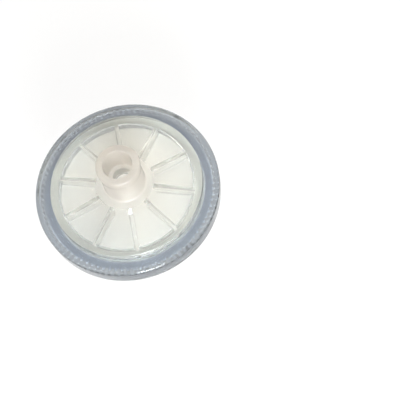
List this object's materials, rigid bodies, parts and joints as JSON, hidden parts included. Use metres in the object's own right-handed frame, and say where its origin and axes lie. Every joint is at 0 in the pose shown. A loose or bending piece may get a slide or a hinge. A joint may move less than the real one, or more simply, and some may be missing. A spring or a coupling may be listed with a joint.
{
  "type": "inline syringe filter",
  "caption": "Inline disc filter: a hydrophobic membrane in a clear ribbed housing with a sealed rim, a stepped hose port on one side and a wide socket port on the other.",
  "frame": {"origin": "centre of the inlet port's end face, on the surface the filter stands on", "axes": "+Z along the common axis of both ports, from the inlet port's end towards the outlet port's mouth; one rib of each shell lies along +X"},
  "size_m": [0.06, 0.06, 0.0538],
  "materials": {
    "clear_shell": "clear natural plastic with a faint haze, smooth moulded surface",
    "clear_band": "translucent blue-grey moulded plastic, semi-gloss",
    "membrane": "white matt hydrophobic membrane",
    "fleece": "white matt nonwoven fleece"
  },
  "bodies": {
    "root": {"inlet_shell": "clear_shell", "outlet_shell": "clear_shell", "membrane": "membrane", "support_fleece": "fleece", "sealing_band": "clear_band"}
  },
  "joints": []
}
